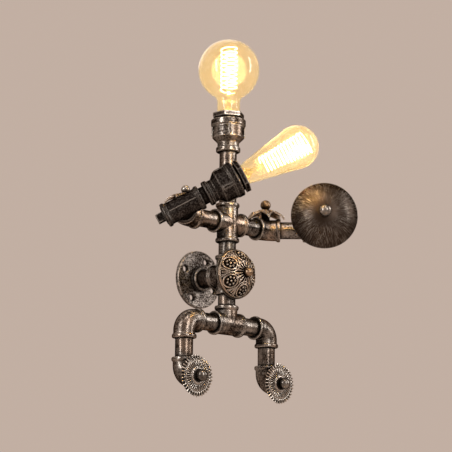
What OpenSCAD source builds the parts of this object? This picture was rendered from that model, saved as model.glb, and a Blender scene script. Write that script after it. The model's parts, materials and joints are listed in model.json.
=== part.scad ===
// Robot wall lamp: a standing figure screwed together from iron pipe fittings on a wall flange.
// A globe lamp is its head, one arm carries a pear lamp and the other a round shield.
// Millimetres. The origin is the centre of the flange on the wall, +Y goes into the wall, +Z is up.
// Left and right are as seen by someone who faces the wall.

/* [Pipe] */
// Outside diameter of every pipe
pipe_d = 26.4; // [24:0.1:28]
// Bore of every pipe
pipe_bore = 20.8; // [18:0.1:22]
// Length of pipe that is screwed into a fitting
thread_depth = 10; // [8:0.5:10]
// Radial clearance of a pipe in its fitting
thread_gap = 0.05; // [0.02:0.01:0.1]
// Gap between a pipe's end and the shoulder in its fitting
end_gap = 0.2; // [0.1:0.1:0.5]

/* [Fittings] */
// Outside diameter of the band round a mouth
band_d = 36.4; // [34:0.1:38]
// Length of the band
band_len = 6; // [4:0.5:7]
// Bevel on the edges of a band
band_bevel = 1.2; // [0.5:0.1:1.5]
// Outside diameter of a fitting between its bands
body_d = 32.4; // [31:0.1:33]
// How much thinner a side branch is than the run it leaves
branch_step = 0.8; // [0.4:0.1:1.2]
// Centre to mouth of a tee or cross
tee_reach = 30; // [29:0.5:36]
// Centre to mouth of the hip tee
hip_reach = 27.5; // [27:0.5:34]
// Centre to mouth of a right-angle elbow
elbow_reach = 28.6; // [28:0.2:34]
// Bend radius of a right-angle elbow
elbow_bend = 17.5; // [17:0.5:18]
// Centre to mouth of an arm elbow
arm_elbow_reach = 23; // [22:0.5:30]
// Bend radius of an arm elbow
arm_elbow_bend = 24; // [20:1:26]
// Angle that an arm elbow turns
arm_turn = 45; // [40:1:50]

/* [Wall flange] */
// Diameter of the flange
flange_d = 89; // [84:1:100]
// Thickness of the plate
flange_t = 6.5; // [5:0.5:9]
// Height of the hub's mouth above the wall
hub_h = 16; // [15:0.5:24]
// Screw hole diameter
screw_hole_d = 8.5; // [6:0.5:10]
// Countersink diameter at the front
screw_head_d = 12.5; // [11:0.5:13]
// Pitch circle of the screw holes
screw_pcd = 64; // [58:1:68]
// Number of screw holes
screw_count = 4; // [3:1:6]
// Angle of the first screw hole from +X
screw_angle = 64; // [0:1:89]
// Length of the rubber bush in the flange
bush_len = 5; // [3:0.5:5.5]

/* [Lengths of bare pipe] */
// Wall pipe
wall_show = 21; // [10:1:60]
// Torso pipe
torso_show = 20.4; // [19:0.2:80]
// Waist pipe
waist_show = 17; // [13:1:60]
// Neck pipe
neck_show = 80.6; // [40:0.2:140]
// Each hip nipple
hip_show = 29; // [10:1:60]
// Each leg pipe
leg_show = 27.9; // [10:0.1:90]
// Left shoulder nipple
left_show = 34; // [20:1:60]
// Right shoulder nipple
right_show = 29; // [20:1:60]
// Nipple between the left arm elbow and the lamp tee
wrist_show = 7; // [3:0.5:30]
// Nipple between the lamp tee and its lamp cup
lamp_show = 7.5; // [5:0.5:40]
// Forearm pipe
forearm_show = 35; // [15:1:60]
// Pipe that holds the shield forward
shield_show = 100; // [70:1:120]

/* [Lamp cups] */
// Diameter of the collar on the pipe
cup_collar_d = 37.5; // [34:0.5:40]
// Length of the collar
cup_collar_len = 7.5; // [5:0.5:9]
// Diameter of the neck above the collar
cup_neck_d = 33; // [31:0.5:34]
// Height where the neck starts to flare
cup_neck_h = 14.5; // [13:0.5:15]
// Diameter of the cup
cup_d = 49; // [48:0.5:52]
// Height where the flare ends
cup_flare_h = 22.5; // [21:0.5:24]
// Diameter of the ring at the rim
cup_ring_d = 53.5; // [52:0.5:56]
// Length of the ring
cup_ring_len = 10.5; // [8:0.5:12]
// Height of the cup
cup_h = 51; // [50:0.5:54]
// Bore of the cup
cup_bore = 42; // [41:0.5:43]
// Width of each raised rib on the cup
rib_w = 5; // [3:0.5:7]
// How far a rib stands out
rib_proud = 1.2; // [0.5:0.1:1.8]
// Distance of a rib's foot above the flare
rib_foot = 2; // [1:0.5:6]
// Number of ribs
rib_count = 4; // [3:1:8]
// Angle of the first rib on the head's cup
head_rib_angle = 53; // [0:1:89]
// Angle of the first rib on the lamp arm's cup
lamp_rib_angle = 20; // [0:1:89]
// Width across the flats of the hexagon
hex_af = 43.4; // [43:0.2:46]
// Height of the hexagon
hex_h = 7.3; // [5:0.1:10]
// Groove between the cup's ring and the hexagon
hex_groove = 3.4; // [2:0.1:5]
// How far that groove is cut in
hex_groove_in = 1; // [0.5:0.1:1.5]
// Length of thread of the hexagon's bush in the cup
hex_thread = 12; // [8:1:14]
// Angle of the head's hexagon round its axis
head_hex_angle = 32; // [0:1:59]
// Angle of the lamp arm's hexagon round its axis
lamp_hex_angle = 14; // [0:1:59]

/* [Lampholder] */
// Diameter of the ceramic body inside the hexagon
holder_d = 37; // [36:0.5:38]
// Bore of the ceramic body
holder_bore = 28.4; // [28.2:0.1:29]
// Height of the ceramic body
holder_h = 36.5; // [34:0.5:37]
// Thickness of the ceramic floor
holder_floor = 7; // [6:0.5:8]
// Wall of the brass screw shell
shell_wall = 0.55; // [0.4:0.05:0.6]
// Length of the screw shell
shell_len = 27; // [24:0.5:28]
// Height of the centre contact
contact_h = 3; // [2:0.5:4]
// Diameter of the centre contact
contact_d = 8; // [6:0.5:9]

/* [Bulbs] */
// Diameter of a bulb's screw cap
cap_d = 26.4; // [26:0.1:26.6]
// Length of a bulb's screw cap
cap_len = 20; // [18:0.5:22]
// Length of the black insulator with the contact
tip_len = 7; // [5:0.5:8]
// Largest diameter of that insulator
tip_d = 23.4; // [20:0.1:24]
// Its diameter next to the contact
tip_small_d = 10; // [9:0.5:12]
// Wall of the glass
glass_wall = 1; // [0.8:0.1:1.5]
// Diameter of the globe
globe_d = 95; // [80:1:100]
// Height of the globe's centre above its cap
globe_rise = 71.9; // [66:0.1:80]
// Diameter of the globe's neck
globe_neck_d = 35.4; // [32:0.2:36.4]
// Largest diameter of the pear bulb
pear_d = 64; // [58:1:70]
// Length of the pear bulb above its cap
pear_len = 121; // [112:1:128]
// Diameter of the pear's neck
pear_neck_d = 29; // [27:0.5:30]
// Diameter of the glass stem inside a bulb
stem_d = 6; // [5:0.5:8]
// Diameter of the filament's coil
coil_d = 28; // [24:0.5:28]
// Thickness of the filament
filament_d = 1.4; // [1:0.1:1.8]
// Wall of the sleeve that stands for the filament's turns
sleeve_wall = 0.4; // [0.3:0.1:0.6]
// Height of the globe's filament
globe_coil_h = 70; // [56:1:72]
// Height of the pear's filament
pear_coil_h = 74; // [60:1:76]

/* [Legs] */
// Diameter of a foot rosette over its teeth
rosette_d = 62.4; // [56:0.2:72]
// Depth of the teeth
tooth_depth = 2.6; // [1:0.1:4]
// Number of teeth
tooth_count = 36; // [24:1:48]
// Thickness of a rosette
rosette_t = 2.4; // [2:0.1:3]
// Distance that a rosette's edge is dished back
rosette_dish = 3.2; // [1:0.1:4]
// Diameter of the flat middle of a rosette
rosette_flat_d = 39; // [38:0.5:42]
// Diameter of the raised ring under a foot ball
washer_d = 26; // [20:0.5:30]
// Height of that ring
washer_h = 1.6; // [0.5:0.1:3]
// Diameter of a foot ball
foot_ball_d = 16.5; // [14:0.5:22]
// Diameter of the stud that carries a rosette
stud_d = 8; // [6:0.5:9]

/* [Medallion and petal caps] */
// Diameter of the medallion
medallion_d = 76; // [70:1:84]
// Depth of the medallion's dome
medallion_depth = 24; // [20:0.5:28]
// Distance of the medallion's rim in front of the column axis
medallion_reach = 17; // [16:0.5:24]
// Wall of the medallion
medallion_wall = 2; // [1.5:0.1:3]
// Diameter of the bead round the medallion's rim
medallion_bead_d = 3.6; // [3:0.1:5]
// Diameter of the medallion's ball
medallion_ball_d = 14; // [12:0.5:20]
// Diameter over a petal cap's tips
petal_tip_d = 63; // [56:0.5:70]
// Diameter over the notches between the petals
petal_notch_d = 43; // [40:0.5:50]
// Number of petals
petal_count = 6; // [5:1:8]
// Power that shapes the notches, less is rounder
petal_round = 0.9; // [0.6:0.1:1.2]
// Angle of the first petal from the arm's heading
petal_angle = 40; // [0:1:59]
// Drop of a petal cap from its top to its tips
petal_drop = 18; // [15:0.5:20]
// Height of a petal cap's top above the arm's axis
petal_top = 33; // [32:0.5:38]
// Wall of a petal cap
petal_wall = 2; // [1.5:0.1:2.5]
// Diameter of the ball on the left petal cap
left_ball_d = 13; // [12:0.5:20]
// Diameter of the ball on the right petal cap
right_ball_d = 16; // [12:0.5:20]
// Diameter of the posts that carry the medallion and the petal caps
post_d = 13; // [11:0.5:15]
// Diameter of the bolts under the balls
bolt_d = 8; // [6:0.5:9]
// Width of a ball's flat seat round its bolt
ball_seat = 1; // [0.5:0.1:1.5]
// Length of a bolt inside its post
bolt_grip = 9; // [6:0.5:10]

/* [Lamp arm] */
// Tilt of the lamp arm above level
lamp_tilt = 28.4; // [10:0.1:60]
// Width of the square head on the tail plug
plug_square = 13; // [10:0.5:16]
// Length of the square head
plug_head = 12; // [8:0.5:16]

/* [Shield] */
// Diameter of the shield
shield_d = 99; // [90:1:110]
// Depth of the shield's dome
shield_depth = 32; // [28:1:36]
// Wall of the shield
shield_wall = 2; // [1.5:0.1:3]
// Diameter of the bead round the shield's rim
shield_bead_d = 3.6; // [3:0.1:5]
// Diameter of the shield's ball
shield_ball_d = 18; // [15:0.5:22]
// Diameter of the shield's bolt
shield_bolt_d = 10; // [8:0.5:11]
// Length of the cap on the shield's pipe
end_cap_len = 18; // [17:0.5:24]

/* [Wiring] */
// Diameter of the flex inside the pipes
flex_d = 5.6; // [4:0.1:6]
// Distance between the two flexes in the column
flex_pitch = 6.8; // [6.5:0.1:7.5]
// Bend radius of the flex
flex_bend = 9; // [7:0.5:9.5]

/* [Fits] */
// Radial clearance of a turning piece on its bolt or stud
spin_gap = 0.05; // [0.02:0.01:0.1]
// Clearance between seated faces
seat_gap = 0.2; // [0.1:0.1:0.3]

/* [Hidden] */
$fn = 64;

iron = "#4b423b";
dark_iron = "#2b2725";
grey_iron = "#7d766e";
bronze = "#6a5138";
nickel = "#8d8578";
brass = "#b08d45";
ceramic = "#e8e2d6";
amber = [0.95, 0.62, 0.25, 0.4];
rubber = "#222222";

// Tiny overshoot of a cut past a face
past = 0.5;
// Lap of one solid into the next where both are one casting
fuse = 1;
// Lap of a straight leg into a slanted bend, and its step in radius there
elbow_lap = 1.5;
lap_step = 0.2;
// Steps round each petal, and how far the dome that it is cut from goes on below its tip
petal_steps = 8;
petal_skirt = 1;
// Length of the cone at the foot of a globe
glass_foot = 5;

pipe_r = pipe_d / 2;
bore_r = pipe_bore / 2;
band_r = band_d / 2;
body_r = body_d / 2;
branch_r = body_r - branch_step / 2;
branch_bore_r = bore_r - branch_step / 4;
seat_depth = thread_depth + end_gap;

// Places along the figure, worked out from the lengths of bare pipe
column_y = -(hub_h + wall_show + tee_reach);
shoulder_z = 2 * tee_reach + torso_show;
hip_z = -(tee_reach + waist_show + hip_reach);
head_z = shoulder_z + tee_reach + neck_show;
leg_x = hip_reach + hip_show + elbow_reach;
foot_z = hip_z - 2 * elbow_reach - leg_show;
left_x = -(tee_reach + left_show + arm_elbow_reach);
right_x = tee_reach + right_show + arm_elbow_reach;
left_heading = 180 + arm_turn;
right_heading = -arm_turn;
lamp_heading = left_heading + 90;
shield_heading = right_heading + 270;
lamp_tee_reach = arm_elbow_reach + wrist_show + tee_reach;
wrist_reach = arm_elbow_reach + forearm_show + elbow_reach;
lamp_tee_place = [left_x, column_y, shoulder_z]
    + lamp_tee_reach * [cos(left_heading), sin(left_heading), 0];
wrist_place = [right_x, column_y, shoulder_z]
    + wrist_reach * [cos(right_heading), sin(right_heading), 0];

// Heights inside a lamp cup, from the face of its collar
hex_bottom = cup_h + hex_groove;
hex_top = hex_bottom + hex_h;
holder_top = cup_flare_h + holder_h;
holder_step = cup_h - hex_thread - seat_gap;
contact_top = cup_flare_h + holder_floor + contact_h;
cap_bottom = contact_top + tip_len + seat_gap;
cap_top = cap_bottom + cap_len;
shell_r = holder_bore / 2 - thread_gap;

// A dome of rim radius r and depth h is a cap of a sphere of this radius
function dome_radius(r, h) = (r * r + h * h) / (2 * h);

// Height above the rim plane of a dome's inner face, at distance x from its axis
function inner_height(r, h, wall, x) =
    let (s = dome_radius(r, h)) h - s + sqrt((s - wall) * (s - wall) - x * x);

// Face of each post that carries a dome
medallion_post = medallion_reach - seat_gap
    + inner_height(medallion_d / 2, medallion_depth, medallion_wall, post_d / 2);
petal_post = petal_top - petal_drop - seat_gap
    + inner_height(petal_tip_d / 2, petal_drop, petal_wall, post_d / 2);

// The shield seats on the face of the cap on its pipe
shield_cap_face = elbow_reach + shield_show + end_cap_len;
shield_rim = shield_cap_face + seat_gap
    - inner_height(shield_d / 2, shield_depth, shield_wall, body_r);
rosette_seat = elbow_reach + seat_gap;

// Directions: each turns the local +Z axis
module to_left() rotate([0, -90, 0]) children();
module to_right() rotate([0, 90, 0]) children();
module to_wall() rotate([-90, 0, 0]) children();
module to_front() rotate([90, 0, 0]) children();
module to_heading(angle) rotate([0, 0, angle]) rotate([0, 90, 0]) children();

// Places
module at_column(z) translate([0, column_y, z]) children();
module at_left_elbow() translate([left_x, column_y, shoulder_z]) children();
module at_right_elbow() translate([right_x, column_y, shoulder_z]) children();
module at_lamp() translate(lamp_tee_place) rotate([0, 0, lamp_heading])
    rotate([0, 90 - lamp_tilt, 0]) children();
module at_lamp_cup() at_lamp() translate([0, 0, tee_reach + lamp_show]) children();
module at_head_cup() at_column(head_z) children();
module at_wrist() translate(wrist_place) children();
module at_hip(side) translate([side * leg_x, column_y, hip_z]) children();
module at_foot(side) translate([side * leg_x, column_y, foot_z]) children();
module at_foot_front(side) at_foot(side) to_front() children();
module at_medallion() at_column(0) to_front() translate([0, 0, medallion_reach]) children();
module at_shield() at_wrist() to_heading(shield_heading) translate([0, 0, shield_rim]) children();

// Pipe with both ends screwed in, its bare length from z = 0 to z = show
module pipe(show) {
    translate([0, 0, -thread_depth]) difference() {
        cylinder(r = pipe_r, h = show + 2 * thread_depth);
        translate([0, 0, -past]) cylinder(r = bore_r, h = show + 2 * thread_depth + 2 * past);
    }
}

// One arm of a fitting along +Z: its body, lapped into what lies behind it, and the band round its mouth
module arm_solid(reach, r = body_r, lap = 0) {
    translate([0, 0, -lap]) cylinder(r = r, h = reach + lap - band_len / 2);
    translate([0, 0, reach - band_len]) rotate_extrude() polygon([
        [0, 0], [band_r - band_bevel, 0], [band_r, band_bevel],
        [band_r, band_len - band_bevel], [band_r - band_bevel, band_len], [0, band_len]
    ]);
}

// The thread socket and the way through of one arm
module arm_bore(reach, r = bore_r, lap = 0) {
    translate([0, 0, -lap]) cylinder(r = r, h = reach + lap + past);
    translate([0, 0, reach - seat_depth]) cylinder(r = pipe_r + thread_gap, h = seat_depth + past);
}

// Straight run along Z with a side branch along +X
module tee_solid(reach, sides = [0]) {
    arm_solid(reach);
    mirror([0, 0, 1]) arm_solid(reach);
    for (a = sides) rotate([0, 0, a]) to_right() arm_solid(reach, branch_r);
}
module tee_bore(reach, sides = [0]) {
    arm_bore(reach);
    mirror([0, 0, 1]) arm_bore(reach);
    for (a = sides) rotate([0, 0, a]) to_right() arm_bore(reach, branch_bore_r);
}
module tee(reach, sides = [0]) {
    difference() {
        tee_solid(reach, sides);
        tee_bore(reach, sides);
    }
}

// Right-angle elbow with its mouths along +X and +Y
module elbow() {
    difference() {
        union() {
            elbow_arc(body_r);
            elbow_legs(elbow_bend) arm_solid(elbow_reach - elbow_bend);
        }
        elbow_arc(bore_r);
        elbow_legs(elbow_bend) arm_bore(elbow_reach - elbow_bend);
    }
}
module elbow_arc(r) {
    translate([elbow_bend, elbow_bend, 0]) rotate([0, 0, 180])
        rotate_extrude(angle = 90) translate([elbow_bend, 0]) circle(r = r);
}
module elbow_legs(start) {
    to_right() translate([0, 0, start]) children();
    to_wall() translate([0, 0, start]) children();
}

// Arm elbow with its mouths along +X and at 180 - arm_turn degrees, and a post on top
arm_tangent = arm_elbow_bend * tan(arm_turn / 2);
module arm_elbow() {
    difference() {
        union() {
            arm_elbow_arc(body_r);
            arm_elbow_legs() arm_solid(arm_elbow_reach - arm_tangent, body_r + lap_step, elbow_lap);
        }
        arm_elbow_arc(bore_r);
        arm_elbow_legs() arm_bore(arm_elbow_reach - arm_tangent, bore_r + lap_step, elbow_lap);
    }
}
module arm_elbow_arc(r) {
    translate([arm_tangent, arm_elbow_bend, 0]) rotate([0, 0, 270 - arm_turn])
        rotate_extrude(angle = arm_turn) translate([arm_elbow_bend, 0]) circle(r = r);
}
module arm_elbow_legs() {
    to_right() translate([0, 0, arm_tangent]) children();
    to_heading(180 - arm_turn) translate([0, 0, arm_tangent]) children();
}

// Post from inside a fitting's wall up to a dome, tapped for a bolt
module post(face) {
    start = (bore_r + body_r) / 2;
    difference() {
        translate([0, 0, start]) cylinder(d = post_d, h = face - start);
        post_hole(face);
    }
}
module post_hole(face) {
    translate([0, 0, face - bolt_grip - end_gap])
        cylinder(r = bolt_d / 2 + thread_gap, h = bolt_grip + end_gap + past);
}

// Ball with a flat seat at z = 0, on a shank that goes down from it
module ball_bolt(ball_d, seat_d, shank_d, shank_len) {
    rise = sqrt(ball_d * ball_d - seat_d * seat_d) / 2;
    intersection() {
        translate([0, 0, rise]) sphere(d = ball_d);
        cylinder(d = ball_d + past, h = ball_d + past);
    }
    translate([0, 0, -shank_len]) cylinder(d = shank_d, h = shank_len + fuse);
}

// Hollow dome with its rim at z = 0 and a hole at the top, gone on below the rim by skirt
module dome(d, depth, wall, hole_d, skirt = 0) {
    r = dome_radius(d / 2, depth);
    difference() {
        intersection() {
            translate([0, 0, depth - r]) difference() {
                sphere(r = r);
                sphere(r = r - wall);
            }
            translate([0, 0, -skirt]) cylinder(d = d + 2 * wall, h = depth + skirt + past);
        }
        cylinder(d = hole_d, h = depth + past);
    }
}

// Rolled bead on a dome's rim
module bead(d, bead_d) {
    rotate_extrude() translate([d / 2 - bead_d / 2, 0]) circle(d = bead_d);
}

// Cup of a lamp, from the face of its collar upwards
module cup(rib_angle) {
    difference() {
        union() {
            rotate_extrude() polygon([
                [0, 0], [cup_collar_d / 2 - band_bevel, 0], [cup_collar_d / 2, band_bevel],
                [cup_collar_d / 2, cup_collar_len - band_bevel],
                [cup_collar_d / 2 - band_bevel, cup_collar_len],
                [cup_neck_d / 2, cup_collar_len], [cup_neck_d / 2, cup_neck_h],
                [cup_d / 2, cup_flare_h], [cup_d / 2, cup_h - cup_ring_len],
                [cup_ring_d / 2 - band_bevel, cup_h - cup_ring_len],
                [cup_ring_d / 2, cup_h - cup_ring_len + band_bevel],
                [cup_ring_d / 2, cup_h - band_bevel], [cup_ring_d / 2 - band_bevel, cup_h], [0, cup_h]
            ]);
            for (i = [0:rib_count - 1]) rotate([0, 0, rib_angle + i * 360 / rib_count]) cup_rib();
        }
        translate([0, 0, -past]) cylinder(r = pipe_r + thread_gap, h = seat_depth + past);
        cylinder(r = bore_r, h = cup_h);
        translate([0, 0, cup_flare_h]) cylinder(d = cup_bore, h = cup_h);
    }
}
module cup_rib() {
    reach = cup_d / 2 + rib_proud;
    inner = cup_bore / 2 + fuse;
    low = cup_flare_h + rib_foot;
    top = cup_h - cup_ring_len + fuse;
    translate([inner, -rib_w / 2, low]) cube([reach - inner, rib_w, top - low]);
}

// Hexagon on a threaded bush that clamps the lampholder
module hex_bush(angle) {
    difference() {
        union() {
            translate([0, 0, cup_h - hex_thread])
                cylinder(r = cup_bore / 2 - thread_gap, h = hex_thread);
            translate([0, 0, cup_h - fuse])
                cylinder(d = cup_bore - 2 * hex_groove_in, h = hex_groove + 2 * fuse);
            translate([0, 0, hex_bottom]) rotate([0, 0, angle])
                cylinder(d = hex_af / cos(30), h = hex_h, $fn = 6);
        }
        cylinder(r = holder_d / 2 + thread_gap, h = hex_top + past);
    }
}

// Ceramic lampholder
module holder() {
    difference() {
        translate([0, 0, cup_flare_h]) {
            cylinder(r = cup_bore / 2 - seat_gap, h = holder_step - cup_flare_h);
            cylinder(d = holder_d, h = holder_h);
        }
        translate([0, 0, cup_flare_h + holder_floor]) cylinder(d = holder_bore, h = holder_h);
    }
}

// Screw shell and centre contact of a lampholder
module contacts() {
    translate([0, 0, cup_flare_h + holder_floor]) {
        difference() {
            cylinder(r = shell_r, h = shell_len);
            translate([0, 0, -past]) cylinder(r = shell_r - shell_wall, h = shell_len + 2 * past);
        }
        cylinder(d = contact_d, h = contact_h - seat_gap);
    }
}

// Screw cap of a bulb
module bulb_cap() {
    translate([0, 0, cap_bottom]) difference() {
        cylinder(d = cap_d, h = cap_len);
        translate([0, 0, shell_wall]) cylinder(d = cap_d - 2 * shell_wall, h = cap_len);
    }
}

// Black insulator and contact below a bulb's cap
module bulb_tip() {
    translate([0, 0, contact_top]) {
        cylinder(d = contact_d, h = tip_len / 2);
        translate([0, 0, tip_len / 2]) cylinder(d1 = tip_small_d, d2 = tip_d, h = tip_len / 2);
    }
}

// Globe glass, its cap's top at z = 0, shrunk by inset all over
module globe_form(inset) {
    translate([0, 0, globe_rise]) sphere(d = globe_d - 2 * inset);
    cylinder(d1 = cap_d - 2 * inset, d2 = globe_neck_d - 2 * inset, h = glass_foot);
    translate([0, 0, glass_foot]) cylinder(d = globe_neck_d - 2 * inset, h = globe_rise - glass_foot);
}

// Pear glass: a cone from the neck that runs tangent into a ball at the crown
module pear_form(inset) {
    ball_r = pear_d / 2;
    ball_z = pear_len - ball_r;
    slope = asin((ball_r - pear_neck_d / 2) / ball_z);
    cone_z = ball_z - ball_r * sin(slope);
    cylinder(d1 = pear_neck_d - 2 * inset, r2 = ball_r * cos(slope) - inset, h = cone_z);
    translate([0, 0, ball_z]) sphere(r = ball_r - inset);
}

// Stem with two arms that hold a thin sleeve, the plain form of the wound filament
module filament(height, start) {
    arm = coil_d / 2 - sleeve_wall / 2;
    top = start + height;
    cylinder(d = stem_d, h = start + filament_d);
    cylinder(d = stem_d / 2, h = top + filament_d);
    for (z = [start + filament_d, top - filament_d])
        translate([0, 0, z]) to_right() cylinder(d = filament_d, h = arm);
    translate([0, 0, start]) difference() {
        cylinder(d = coil_d, h = height);
        translate([0, 0, -past]) cylinder(d = coil_d - 2 * sleeve_wall, h = height + 2 * past);
    }
}

// Serrated outline of a rosette
module rosette_outline() {
    polygon([for (i = [0:2 * tooth_count - 1])
        let (a = 180 * i / tooth_count, r = rosette_d / 2 - (i % 2) * tooth_depth)
        [r * cos(a), r * sin(a)]]);
}

// Foot rosette with its back seat at z = 0
module rosette() {
    flat = rosette_flat_d / 2;
    edge = rosette_d / 2 + past;
    intersection() {
        translate([0, 0, -rosette_dish - past])
            linear_extrude(rosette_dish + rosette_t + washer_h + 2 * past) rosette_outline();
        difference() {
            rotate_extrude() polygon([
                [0, 0], [flat, 0], [edge, -rosette_dish], [edge, rosette_t - rosette_dish],
                [flat, rosette_t], [washer_d / 2, rosette_t],
                [washer_d / 2 - washer_h, rosette_t + washer_h], [0, rosette_t + washer_h]
            ]);
            translate([0, 0, -past])
                cylinder(r = stud_d / 2 + spin_gap, h = rosette_t + washer_h + 2 * past);
        }
    }
}

// Petal cap with its top at z = petal_top
module petal_outline() {
    tip = petal_tip_d / 2;
    notch = petal_notch_d / 2;
    steps = petal_steps * petal_count;
    polygon([for (i = [0:steps - 1])
        let (a = 360 * i / steps, dip = pow(abs(sin(petal_count * a / 2)), petal_round))
        (tip - (tip - notch) * dip) * [cos(a), sin(a)]]);
}
module petal_cap(heading) {
    translate([0, 0, petal_top - petal_drop]) intersection() {
        dome(petal_tip_d, petal_drop, petal_wall, bolt_d + 2 * spin_gap, petal_skirt);
        rotate([0, 0, heading + petal_angle]) translate([0, 0, -petal_skirt - past])
            linear_extrude(petal_drop + petal_skirt + 2 * past) petal_outline();
    }
}
module petal_bolt(ball_d) {
    translate([0, 0, petal_top + seat_gap])
        ball_bolt(ball_d, bolt_d, bolt_d, petal_top + seat_gap - petal_post + bolt_grip);
}

// Wall flange and the bush in it
module wall_flange() {
    color(grey_iron) to_front() difference() {
        union() {
            rotate_extrude() polygon([
                [0, 0], [flange_d / 2, 0], [flange_d / 2, flange_t - band_bevel],
                [flange_d / 2 - band_bevel, flange_t], [0, flange_t]
            ]);
            arm_solid(hub_h);
        }
        translate([0, 0, -past]) cylinder(r = bore_r, h = hub_h);
        arm_bore(hub_h);
        for (i = [0:screw_count - 1]) rotate([0, 0, screw_angle + i * 360 / screw_count])
            translate([screw_pcd / 2, 0, 0]) screw_hole();
    }
}
module screw_hole() {
    sink = (screw_head_d - screw_hole_d) / 2;
    translate([0, 0, -past]) cylinder(d = screw_hole_d, h = flange_t + 2 * past);
    translate([0, 0, flange_t - sink])
        cylinder(d1 = screw_hole_d, d2 = screw_head_d + 2 * past, h = sink + past);
}
module cable_bush() {
    color(rubber) to_front() difference() {
        cylinder(r = bore_r - thread_gap, h = bush_len);
        for (side = [-1, 1]) translate([side * flex_pitch / 2, 0, -past])
            cylinder(r = flex_d / 2 + thread_gap, h = bush_len + 2 * past);
    }
}

// Column
module wall_nipple() color(iron) translate([0, -hub_h, 0]) to_front() pipe(wall_show);
module belly_tee() color(iron) at_column(0) {
    difference() {
        union() {
            tee_solid(tee_reach, [90]);
            to_front() translate([0, 0, bore_r + fuse])
                cylinder(d = post_d, h = medallion_post - bore_r - fuse);
        }
        tee_bore(tee_reach, [90]);
        to_front() post_hole(medallion_post);
    }
}
module torso_pipe() color(iron) at_column(tee_reach) pipe(torso_show);
module waist_pipe() color(iron) at_column(-tee_reach - waist_show) pipe(waist_show);
module shoulder_cross() color(iron) at_column(shoulder_z) tee(tee_reach, [0, 180]);
module neck_pipe() color(iron) at_column(shoulder_z + tee_reach) pipe(neck_show);
module hip_tee() color(iron) at_column(hip_z) difference() {
    hip_tee_arms() arm_solid(hip_reach);
    hip_tee_arms() arm_bore(hip_reach);
}
module hip_tee_arms() {
    children();
    to_left() children();
    to_right() children();
}
module hip_nipples() color(iron) at_column(hip_z) {
    to_left() translate([0, 0, hip_reach]) pipe(hip_show);
    to_right() translate([0, 0, hip_reach]) pipe(hip_show);
}
module shoulder_nipples() color(iron) at_column(shoulder_z) {
    to_left() translate([0, 0, tee_reach]) pipe(left_show);
    to_right() translate([0, 0, tee_reach]) pipe(right_show);
}

// Head lamp
module head_cup() color(iron) at_head_cup() cup(head_rib_angle);
module head_hex() color(bronze) at_head_cup() hex_bush(head_hex_angle);
module head_holder() color(ceramic) at_head_cup() holder();
module head_contacts() color(brass) at_head_cup() contacts();
module globe_glass() color(amber) at_head_cup() translate([0, 0, cap_top + seat_gap]) difference() {
    globe_form(0);
    translate([0, 0, glass_wall]) globe_form(glass_wall);
    translate([0, 0, globe_rise]) sphere(d = globe_d - 2 * glass_wall);
}
module globe_cap() color(brass) at_head_cup() bulb_cap();
module globe_tip() color(rubber) at_head_cup() bulb_tip();
module globe_filament() color(amber) at_head_cup() translate([0, 0, cap_top + seat_gap + glass_wall])
    filament(globe_coil_h, globe_rise - globe_coil_h / 2);

// Flex in the column: one to the head, one to the lamp arm
module flex_run(len, step = 0) cylinder(r = flex_d / 2 + step, h = len);
module flex_turn(angle) rotate_extrude(angle = angle) translate([flex_bend, 0]) circle(d = flex_d);
// Corner from a run along Y to a run up Z, both from the local origin's axes
module flex_corner() {
    translate([0, flex_bend, flex_bend]) rotate([-90, 0, 0]) rotate([0, 90, 0]) flex_turn(90);
}
module flex_riser(top) {
    to_front() flex_run(-column_y - flex_bend);
    translate([0, column_y, 0]) flex_corner();
    at_column(flex_bend) flex_run(top - flex_bend);
}
module house_flex() color(rubber) {
    shift = flex_pitch / 2;
    translate([shift, 0, 0]) flex_riser(head_z + cup_flare_h - seat_gap);
    translate([-shift, 0, 0]) flex_riser(shoulder_z - flex_bend);
    translate([-shift - flex_bend, column_y, shoulder_z - flex_bend]) rotate([90, 0, 0]) flex_turn(90);
    translate([-shift - flex_bend, column_y, shoulder_z]) to_left()
        flex_run(-left_x - arm_elbow_reach + thread_depth - shift - flex_bend);
}

// Medallion on the belly
module medallion() color(bronze) at_medallion() {
    dome(medallion_d, medallion_depth, medallion_wall, bolt_d + 2 * spin_gap);
    bead(medallion_d, medallion_bead_d);
}
module medallion_bolt() color(nickel) at_medallion() translate([0, 0, medallion_depth + seat_gap])
    ball_bolt(medallion_ball_d, bolt_d, bolt_d,
        medallion_reach + medallion_depth + seat_gap - medallion_post + bolt_grip);

// Legs: side is -1 on the left and 1 on the right
module hip_elbow(side) color(iron) at_hip(side) rotate([0, 0, 90 + side * 90]) rotate([-90, 0, 0]) elbow();
module leg_pipe(side) color(iron) at_foot(side) translate([0, 0, elbow_reach]) pipe(leg_show);
module foot_elbow(side) color(iron) at_foot(side) rotate([0, 0, -90]) rotate([90, 0, 0]) elbow();
module foot_plug(side) color(iron) at_foot_front(side) {
    translate([0, 0, elbow_reach - thread_depth]) cylinder(r = pipe_r, h = thread_depth);
    translate([0, 0, elbow_reach - fuse])
        cylinder(d = stud_d, h = foot_stud_top - elbow_reach + fuse);
}
foot_ball_seat = rosette_seat + rosette_t + washer_h + seat_gap;
foot_stud_top = foot_ball_seat + foot_ball_d / 2;
module foot_rosette(side) color(nickel) at_foot_front(side) translate([0, 0, rosette_seat]) rosette();
module foot_ball(side) color(nickel) at_foot_front(side) translate([0, 0, foot_ball_seat]) difference() {
    ball_bolt(foot_ball_d, stud_d + 2 * ball_seat, stud_d, 0);
    translate([0, 0, -past]) cylinder(r = stud_d / 2 + thread_gap, h = foot_ball_d / 2 + end_gap + past);
}
module left_hip_elbow() hip_elbow(-1);
module left_leg_pipe() leg_pipe(-1);
module left_foot_elbow() foot_elbow(-1);
module left_foot_plug() foot_plug(-1);
module left_rosette() foot_rosette(-1);
module left_foot_ball() foot_ball(-1);
module right_hip_elbow() hip_elbow(1);
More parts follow.
